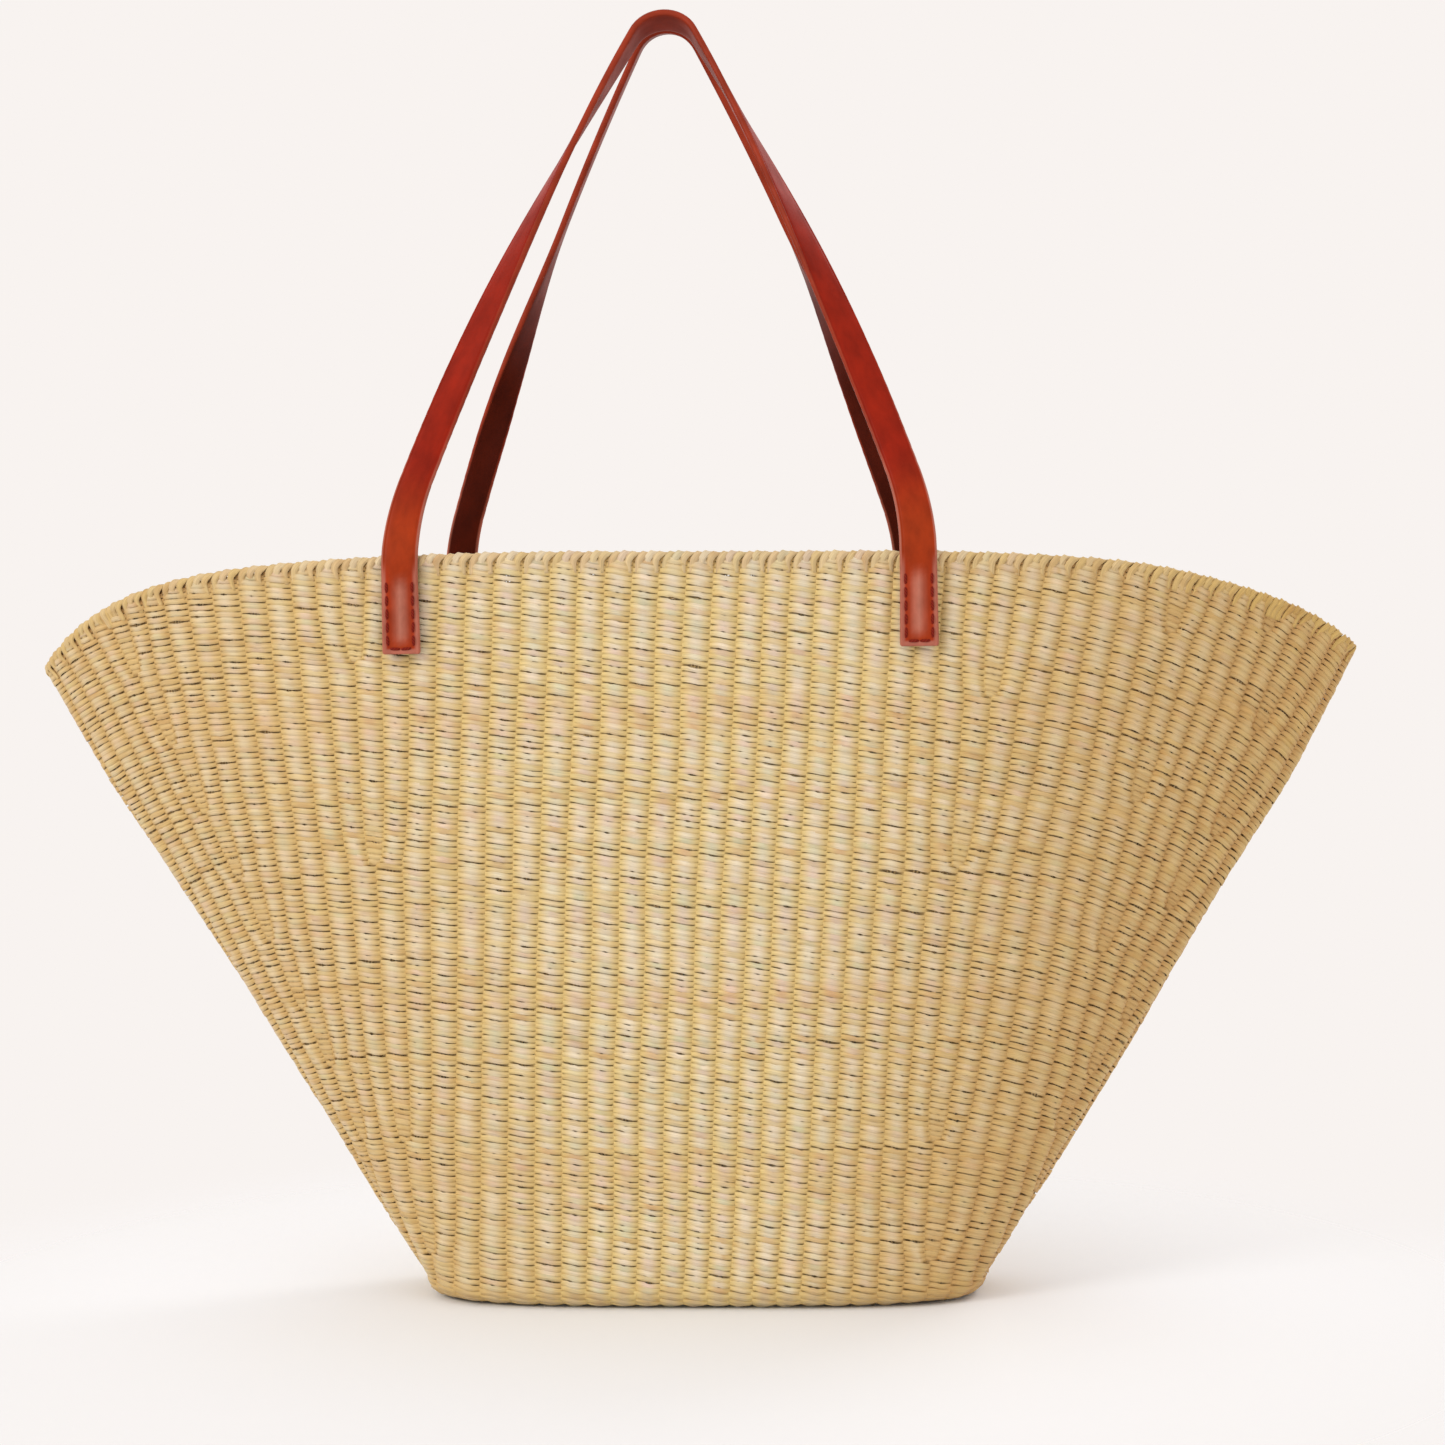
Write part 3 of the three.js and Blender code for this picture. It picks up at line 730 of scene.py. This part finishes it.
def loop_point(length):
    """The left half of the loop in its plane: across, up the plane, and the slope."""
    x, rise, turn, left = -STRAP_SPACING, 0.0, 0.0, length
    for radius, low, high in LOOP_ARCS:
        turn = min(high, low + left / radius)
        x += radius * (math.cos(low) - math.cos(turn))
        rise += radius * (math.sin(turn) - math.sin(low))
        left -= radius * (turn - low)
        if left <= 0:
            break
    return x, rise, turn


def loop_lean():
    """How far each loop leans in, so that the two crowns just meet over the bag."""
    lean = 0.0
    for _ in range(20):
        reach = HINGE_Y - CROWN_GAP / 2 - (STRAP_THICK + LOOP_WIDTH) / 2 * math.cos(lean)
        lean = math.asin(reach / (loop_point(HALF_LOOP)[1] + STRAP_THICK / 2))
    return lean


LOOP_LEAN = loop_lean()


def tilted(vector, lean):
    """Turns a vector about the hinge line: up leans inwards by lean."""
    x, y, z = vector
    return np.array([x, y * math.cos(lean) + z * math.sin(lean),
                     z * math.cos(lean) - y * math.sin(lean)])


def strap_straight(length, front):
    """The left leg's middle, across and outward way, from the straps' centre, with a sharp bend."""
    hinge = np.array([0, -HINGE_Y, HINGE_Z])
    if length < 0:
        middle = tilted((-STRAP_SPACING, STRAP_THICK / 2, length), -TAB_LEAN)
        return hinge + middle, np.array([-1.0, 0, 0]), tilted((0, -1, 0), -TAB_LEAN)
    x, rise, turn = loop_point(length)
    twist = ease(length, TWIST_START, HALF_LOOP if front else BACK_TWIST_END) * math.pi / 2
    away = np.array([-math.cos(turn), 0, math.sin(turn)])
    across = away * math.cos(twist) + np.array([0, math.sin(twist), 0])
    outward = away * math.sin(twist) - np.array([0, math.cos(twist), 0])
    middle = hinge + tilted((x, STRAP_THICK / 2, rise), LOOP_LEAN)
    return middle, tilted(across, LOOP_LEAN), tilted(outward, LOOP_LEAN)


def strap_station(length, front):
    """The same with the bend at the hinge eased."""
    if abs(length) >= KINK_REACH:
        return strap_straight(length, front)
    below, bend, above = (strap_straight(at, front) for at in (-KINK_REACH, -1e-9, KINK_REACH))
    u = (length + KINK_REACH) / (2 * KINK_REACH)
    weights = ((1 - u) ** 2, 2 * u * (1 - u), u**2)
    middle = sum(weight * way[0] for weight, way in zip(weights, (below, bend, above)))
    across = unit(below[1] * (1 - u) + above[1] * u)
    outward = unit(below[2] * (1 - u) + above[2] * u)
    return middle, across, outward


def strap_profile():
    """The section, counter-clockwise from the outer face's right: across, out, and tint kind."""
    half, thick = STRAP_WIDTH / 2, STRAP_THICK / 2
    face = [0.0, 0.25, 0.5, 0.68, 0.76, 0.81, 0.86, 0.92]
    face = [-step for step in reversed(face)] + face[1:]
    outer = []
    for step in reversed(face):
        beside = (1 - abs(step)) * half - CREASE_INSET
        crease = CREASE_DEPTH * math.exp(-(beside / CREASE_WIDTH) ** 2)
        bulge = CROWN_BULGE * (1 - step * step)
        kind = "edge" if abs(step) > 0.9 else "face"
        outer.append((step * half, thick - CROWN_BULGE + bulge - crease, kind))
    corner = [(half - 0.35 * MM, thick - 0.75 * MM), (half, thick - 1.5 * MM),
              (half, 1.2 * MM - thick), (half - 0.6 * MM, 0.2 * MM - thick)]
    left = [(-x, y, "edge") for x, y in corner]
    right = [(x, y, "edge") for x, y in reversed(corner)]
    inner = [(step * half, -thick, "back") for step in (-0.8, -0.4, 0.0, 0.4, 0.8)]
    return outer + left + inner + right


def strap_tint(kind, length, step):
    """Deep cognac, warmer where it bends over the rim, with painted highlights down the sewn end and on
    its pinkish edges, and painted shade on the back low on the legs.
    """
    if kind == "edge":
        return tinted(LEATHER_EDGE_AND_HIGHLIGHT, LEATHER_LOOP_EDGE, ease(length, *LOOP_EDGE_REACH))
    # The back: painted shade low on the legs, its own lighter colour towards the crown.
    if kind == "back":
        return tinted(LEATHER_BACK_AND_SHADE, LEATHER_CROWN, ease(length, *CROWN_REACH))
    colour = tinted(LEATHER, LEATHER_WARM, 1 - ease(length, *WARM_REACH))
    # A painted highlight down the middle of the sewn end.
    highlight = ease(-length, *HIGHLIGHT_START) * (1 - ease(-length, *HIGHLIGHT_END))
    highlight *= math.exp(-((step - HIGHLIGHT_MIDDLE) / HIGHLIGHT_HALF) ** 2)
    colour = tinted(colour, LEATHER_HIGHLIGHT, HIGHLIGHT_TINT * highlight)
    sewn = ease(-length, *SEWN_REACH)
    pressed = sewn * math.exp(-((abs(step) - PRESSED_MIDDLE) / PRESSED_HALF) ** 2)
    colour = tinted(colour, LEATHER_PRESSED, PRESSED_TINT * pressed)
    # A pinkish border round the sewn end: edge finish with a painted highlight.
    border = max(ease(abs(step), *SIDE_BORDER), ease(-length, *END_BORDER))
    return tinted(colour, LEATHER_EDGE_AND_HIGHLIGHT, sewn * border)


def strap_taper(length):
    """The strap's width over its sewn width: spread at the ends, slimmer in the loop."""
    spread = TAB_SPREAD * ease(-length, 8 * MM, TAB_LENGTH)
    return 1 + spread - (1 - LOOP_WIDTH / STRAP_WIDTH) * ease(length, 0, TAPER_LENGTH)


def strap_mesh(name, front):
    """Both sewn ends and the loop between them as one strap."""
    low = np.arange(-TAB_LENGTH, -TAB_LENGTH + 2 * MM, 0.5 * MM)
    rest = np.arange(low[-1] + MM, HALF_LOOP - MM, STATION_STEP)
    stations = np.concatenate([low, rest, [HALF_LOOP]])
    profile = strap_profile()
    rings, tints = [], []
    for length in stations:
        middle, across, outward = strap_station(length, front)
        end = max(0.0, EDGE_ROUND - (length + TAB_LENGTH))
        shrink = EDGE_ROUND - math.sqrt(EDGE_ROUND**2 - min(end, 0.95 * EDGE_ROUND) ** 2)
        wide, thick = 1 - shrink / (STRAP_WIDTH / 2), 1 - 0.8 * shrink / (STRAP_THICK / 2)
        wide *= strap_taper(length)
        rings.append([middle + across * x * wide + outward * y * thick for x, y, _ in profile])
        tints.append([strap_tint(kind, length, x / (STRAP_WIDTH / 2)) for x, _, kind in profile])
    rings, tints = np.array(rings), np.array(tints)
    rings = np.concatenate([rings, rings[-2::-1] * np.array([-1.0, 1.0, 1.0])])
    tints = np.concatenate([tints, tints[-2::-1]])
    lengths = np.concatenate([stations, 2 * HALF_LOOP - stations[-2::-1]])
    if not front:
        rings = rings * np.array([-1.0, -1.0, 1.0])
    strands = Strands()
    strands.add(rings + STRAP_MIDDLE, tints, lengths, 11 if front else 12)
    return strands.mesh(name)


def strap(name, front, material):
    """One strap, bent over the rim at the hinge, with its sewn ends below the hinge."""
    face = "front" if front else "back"
    nodes = [f"{face}_left_strap_end", f"{face}_right_strap_end", f"{face}_handle_strap"]
    made = piece(name, strap_mesh(name, front), material, nodes, body=None)
    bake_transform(made)
    return made


# ---- Stitches and backing patches ----
STITCH_LENGTH = 4.8 * MM
STITCH_PITCH = 7.0 * MM
STITCH_RADIUS = 0.72 * MM
STITCH_INSET = 2.6 * MM
STITCH_START = 11 * MM
SIDE_STITCHES = 5
STITCH_BOW = 0.55 * MM  # how high the thread bows,
STITCH_SUNK = 0.30 * MM  # and how deep its ends lie in the leather
STITCH_TILT = 0.03
THREAD_RED = np.array([0.190, 0.014, 0.007])
PATCH_BROWN = np.array([0.16, 0.045, 0.022])
PATCH_HALF = 12 * MM
PATCH_THICK = 1.5 * MM
PATCH_CORNER = 0.28  # rounds the corners; 0 would be a sharp rectangle
# The patch's size in half widths at each depth, down from its near face, in mm.
PATCH_EDGE = [(0.97, 0.15), (0.995, 0.4), (1.0, 0.8), (0.99, 1.2), (0.96, 1.42), (0.8, 1.5), (0.4, 1.5)]


def tab_point(x, below, out):
    """A point on the front right sewn end, from the straps' centre: across, down and out of it."""
    raised = tilted((x, -out, -below), -TAB_LEAN)
    return np.array([STRAP_SPACING, -HINGE_Y, HINGE_Z]) + raised


def stitch_places():
    """Each stitch's middle on the sewn end, and whether it runs down or across."""
    side = STRAP_WIDTH / 2 - STITCH_INSET
    for number in range(SIDE_STITCHES):
        below = STITCH_START + STITCH_LENGTH / 2 + number * STITCH_PITCH * 0.93
        yield -side, below, True
        yield side, below, True
    for x in (-0.42, 0.42):
        yield x * side, TAB_LENGTH - STITCH_INSET, False


def stitch(strands, middle, along, out, key):
    """One taut stitch: a short bow of thread with its ends down in the leather."""
    span = np.linspace(-1, 1, 9)
    bow = STITCH_BOW * (1 - np.abs(span) ** 3) - STITCH_SUNK
    path = middle + along * (span * STITCH_LENGTH / 2)[:, None] + out * bow[:, None]
    radius = STITCH_RADIUS * (1 - 0.35 * np.abs(span) ** 4)
    normal = np.tile(out, (len(span), 1))
    strands.add(sweep(path, radius, radius * 0.85, normal, sides=8),
                np.tile(THREAD_RED, (len(span), 1)), path_length(path), key)


def stitching_mesh(name, face, side):
    """The stitches on the strap's face and on the patch behind the wall."""
    strands = Strands()
    outer = tilted((0, -1, 0), -TAB_LEAN)
    depth = -patch_depth()
    for key, (x, below, down) in enumerate(stitch_places()):
        tilt = RNG.normal(0, STITCH_TILT)
        run = tilted((tilt, 0, -1), -TAB_LEAN) if down else np.array([1.0, 0, tilt])
        dome = CROWN_BULGE * (x / (STRAP_WIDTH / 2)) ** 2
        for height, out in ((-dome, outer), (depth - PATCH_THICK, -outer)):
            ways = (tab_point(x, below, height), unit(run), out)
            middle, along, facing = (mirrored(way, face, side) for way in ways)
            stitch(strands, middle + STRAP_MIDDLE, along, facing, key)
    return strands.mesh(name, lanes=4)


def mirrored(vector, face, side):
    """Moves a front right vector to another of the four sewn ends."""
    across = 1.0 if side == "right" else -1.0
    through = 1.0 if face == "front" else -1.0
    return vector * np.array([across, through, 1.0])


def patch_depth():
    """From the strap's outer face back to the patch's near face, square to the wall."""
    low = PATCH_LOW[1] - (-HINGE_Y)
    top = (HINGE_Z - PATCH_HIGH[2]) * math.tan(TAB_LEAN)
    return (low - top) * math.cos(TAB_LEAN)


def patch_mesh(name, face, side):
    """A small leather patch with rounded corners and a soft edge, lying behind the wall."""
    half_z = (PATCH_HIGH[2] - PATCH_LOW[2]) / 2
    middle_below = HINGE_Z - (PATCH_HIGH[2] + PATCH_LOW[2]) / 2
    turn = math.tau * (np.arange(48) + 0.5) / 48
    outline = np.stack([PATCH_HALF * signed_power(np.cos(turn), PATCH_CORNER),
                        half_z * signed_power(np.sin(turn), PATCH_CORNER)], axis=1)
    near = patch_depth()
    rings = []
    for scale, depth in PATCH_EDGE:
        edge = outline - np.sign(outline) * (1 - scale) * PATCH_HALF
        rings.append([mirrored(tab_point(x, middle_below - z, -near - depth * MM), face, side)
                      for x, z in edge])
    rings = np.array(rings) + STRAP_MIDDLE
    if (face == "front") == (side == "right"):
        rings = rings[:, ::-1]
    strands = Strands()
    strands.add(rings, np.tile(PATCH_BROWN, (len(rings), 1)), np.arange(len(rings)) * MM, 5)
    return strands.mesh(name)


# ---- Materials ----
def new_material(name):
    made = bpy.data.materials.new(name)
    made.use_nodes = True
    return made, made.node_tree, made.node_tree.nodes["Principled BSDF"]


def fill(tree, node, inputs):
    """Links sockets to a node's inputs and sets the rest as values."""
    for key, value in inputs.items():
        if isinstance(value, bpy.types.NodeSocket):
            tree.links.new(value, node.inputs[key])
        else:
            node.inputs[key].default_value = value


def add_node(tree, kind, inputs, output, **settings):
    """Adds a node and gives one of its outputs."""
    node = tree.nodes.new(kind)
    for key, value in settings.items():
        setattr(node, key, value)
    fill(tree, node, inputs)
    return node.outputs[output]


def attribute(tree, name, output):
    return add_node(tree, "ShaderNodeAttribute", {}, output, attribute_name=name)


def scaled(tree, *scale):
    """The fibre coordinates: along the strand, round it, and a number of its own."""
    fibre = attribute(tree, "fibre", "Vector")
    return add_node(tree, "ShaderNodeMapping", {"Vector": fibre, "Scale": scale}, "Vector")


def noise(tree, scale, detail):
    inputs = {"Vector": scaled(tree, *scale), "Scale": 1.0, "Detail": detail, "Roughness": 0.55}
    return add_node(tree, "ShaderNodeTexNoise", inputs, "Fac")


def remap(tree, value, low, high, new_low, new_high):
    inputs = {"Value": value, "From Min": low, "From Max": high, "To Min": new_low, "To Max": new_high}
    return add_node(tree, "ShaderNodeMapRange", inputs, "Result")


def multiplied(tree, amount, first, second):
    inputs = {0: amount, 6: first, 7: second}
    return add_node(tree, "ShaderNodeMix", inputs, 2, data_type="RGBA", blend_type="MULTIPLY")


def toned(tree, tone):
    return multiplied(tree, 1.0, attribute(tree, "tint", "Color"), tone)


def bump(tree, height, strength, distance, **under):
    inputs = {"Height": height, "Strength": strength, "Distance": distance, **under}
    return add_node(tree, "ShaderNodeBump", inputs, "Normal")


def straw_material(name, stain, roughness):
    """Dried straw: long fibres, blotches along each straw, and a faint sheen."""
    made, tree, shader = new_material(name)
    streaks = noise(tree, (70, 2600, 7), 4)
    blotches = noise(tree, (55, 120, 3), 2)
    colour = toned(tree, remap(tree, streaks, 0.3, 0.7, 0.80, 1.12))
    amount = remap(tree, blotches, 0.52, 0.75, 0.0, 0.5)
    fill(tree, shader, {
        "Base Color": multiplied(tree, amount, colour, (*stain, 1)),
        "Roughness": remap(tree, streaks, 0.3, 0.7, roughness + 0.1, roughness - 0.08),
        "Normal": bump(tree, streaks, 0.5, 0.25 * MM),
        "Specular IOR Level": 0.35,
        "Sheen Weight": 0.08,
    })
    return made


def leather_material(name, roughness, coat, grain_depth):
    """Waxed leather: mottled dye, fine pores and creases, and gloss that varies with the mottling."""
    made, tree, shader = new_material(name)
    mottle = noise(tree, (60, 110, 5), 5)
    pore_places = {"Vector": scaled(tree, 1250, 1250, 9), "Scale": 1.0}
    pores = add_node(tree, "ShaderNodeTexVoronoi", pore_places, "Distance", feature="F1")
    creases = noise(tree, (420, 160, 2), 3)
    grain = bump(tree, pores, 0.3, grain_depth)
    fill(tree, shader, {
        "Base Color": toned(tree, remap(tree, mottle, 0.3, 0.72, 0.76, 1.22)),
        "Roughness": remap(tree, mottle, 0.3, 0.7, roughness + 0.08, roughness - 0.08),
        "Normal": bump(tree, creases, 0.25, 2 * grain_depth, Normal=grain),
        "Specular IOR Level": 0.07,
        "Coat Weight": coat,
        "Coat Roughness": 0.28,
    })
    return made


def thread_material():
    """Waxed thread with its twist."""
    made, tree, shader = new_material("waxed_thread")
    inputs = {"Vector": scaled(tree, 420, 420, 0), "Scale": 1.0, "Distortion": 1.2}
    twist = add_node(tree, "ShaderNodeTexWave", inputs, "Fac", bands_direction="DIAGONAL")
    fill(tree, shader, {
        "Base Color": toned(tree, remap(tree, twist, 0.0, 1.0, 0.65, 1.35)),
        "Normal": bump(tree, twist, 0.6, 0.15 * MM),
        "Roughness": 0.75,
        "Specular IOR Level": 0.1,
    })
    return made


# ---- Floor, light and camera ----
BACKGROUND = (0.940, 0.896, 0.871)
FLOOR_COLOUR = (0.90, 0.93, 0.975, 1)
FLOOR_RADIUS = 0.75
FLOOR_SIDES = 96
LIGHT_AIM = 0.25  # the height the lights point at
FLOOR_FADE, FLOOR_END = 0.16, 0.52  # the floor starts to fade here and is gone there


def floor_material():
    """A pale floor that fades into the background far from the bag."""
    made, tree, shader = new_material("studio_floor")
    fill(tree, shader, {"Base Color": FLOOR_COLOUR, "Roughness": 0.9, "Specular IOR Level": 0.1})
    place = add_node(tree, "ShaderNodeTexCoord", {}, "Object")
    far = add_node(tree, "ShaderNodeVectorMath", {0: place}, "Value", operation="LENGTH")
    inputs = {"Value": far, "From Min": FLOOR_FADE, "From Max": FLOOR_END}
    fade = add_node(tree, "ShaderNodeMapRange", inputs, "Result", interpolation_type="SMOOTHSTEP")
    clear = add_node(tree, "ShaderNodeBsdfTransparent", {}, 0)
    join = add_node(tree, "ShaderNodeMixShader", {0: fade, 1: shader.outputs[0], 2: clear}, 0)
    tree.links.new(join, tree.nodes["Material Output"].inputs["Surface"])
    return made


def studio_floor():
    turn = math.tau * np.arange(FLOOR_SIDES) / FLOOR_SIDES
    ring = [(FLOOR_RADIUS * math.cos(t), FLOOR_RADIUS * math.sin(t), 0) for t in turn]
    mesh = bpy.data.meshes.new("studio_floor")
    mesh.from_pydata(ring, [], [list(range(FLOOR_SIDES))])
    floor = add_object("studio_floor", mesh)
    mesh.materials.append(floor_material())


def area_light(name, location, size, energy, colour):
    data = bpy.data.lights.new(name, "AREA")
    data.shape, data.size, data.energy, data.color = "DISK", size, energy, colour
    light = add_object(name, data)
    light.location = location
    aim = Vector((0, 0, LIGHT_AIM)) - light.location
    light.rotation_euler = aim.to_track_quat("-Z", "Y").to_euler()


def lights():
    world = bpy.data.worlds.new("studio")
    world.use_nodes = True
    tree = world.node_tree
    fill(tree, tree.nodes["Background"], {"Color": (*BACKGROUND, 1), "Strength": 1.0})
    bpy.context.scene.world = world
    area_light("key", (-1.9, -1.9, 1.6), 1.2, 26, (1.0, 0.98, 0.95))
    area_light("behind", (1.7, 1.5, 1.7), 1.0, 12, (1.0, 0.98, 0.96))
    view = bpy.context.scene.view_settings
    view.view_transform, view.look = "Standard", "None"


CAMERA_DISTANCE = 1.223
CAMERA_HEIGHT = 0.260
CAMERA_AZIMUTH = math.radians(4.2)
CAMERA_ROLL = math.radians(0.7)
CAMERA_LENS = 58.35
AIM_RIGHT = 0.0165
AIM_HEIGHT = 0.293


def camera():
    data = bpy.data.cameras.new("camera")
    data.lens, data.sensor_width = CAMERA_LENS, 36.0
    made = add_object("camera", data)
    across, back = math.cos(CAMERA_AZIMUTH), math.sin(CAMERA_AZIMUTH)
    made.location = (CAMERA_DISTANCE * back, -CAMERA_DISTANCE * across, CAMERA_HEIGHT)
    aim = Vector((AIM_RIGHT * across, AIM_RIGHT * back, AIM_HEIGHT))
    made.rotation_mode = "QUATERNION"
    upright = (aim - made.location).to_track_quat("-Z", "Y")
    made.rotation_quaternion = upright @ Quaternion((0, 0, 1), -CAMERA_ROLL)
    bpy.context.scene.camera = made


# ---- Assembly ----
camera()
lights()
studio_floor()
straw = straw_material("straw", (0.80, 0.62, 0.42), 0.62)
straw_border = straw_material("straw_border", (0.70, 0.48, 0.28), 0.66)
leather = leather_material("strap_leather", 0.45, 0.03, 0.05 * MM)
suede = leather_material("patch_leather", 0.85, 0.0, 0.25 * MM)
thread = thread_material()

LEVELS, BASE_ROWS, WALL_START = weave_levels()
LAYOUT = stake_layout(LEVELS)
twined_bands(LEVELS, LAYOUT, 0, BASE_ROWS, "woven_mat", straw, ["woven_base"])
twined_bands(LEVELS, LAYOUT, BASE_ROWS, WALL_START, "foot_courses", straw_border,
             ["base_border"], coarse=1.0)
twined_bands(LEVELS, LAYOUT, WALL_START, len(LEVELS), "twined_wall", straw, ["woven_wall"])
piece("stakes", stake_tubes(LEVELS, LAYOUT), straw, ["woven_wall"])
piece("rolled_rim", rim_rolls(LEVELS[-1], LAYOUT[-1][0]), straw_border, ["rim_border"])

strap("front_strap", True, leather)
strap("back_strap", False, leather)
for face in ("front", "back"):
    for side in ("left", "right"):
        prefix = f"{face}_{side}"
        piece(f"{prefix}_stitches", stitching_mesh(f"{prefix}_stitches", face, side), thread,
              [f"{prefix}_stitching"])
        piece(f"{prefix}_patch", patch_mesh(f"{prefix}_patch", face, side), suede,
              [f"{prefix}_backing_patch"])
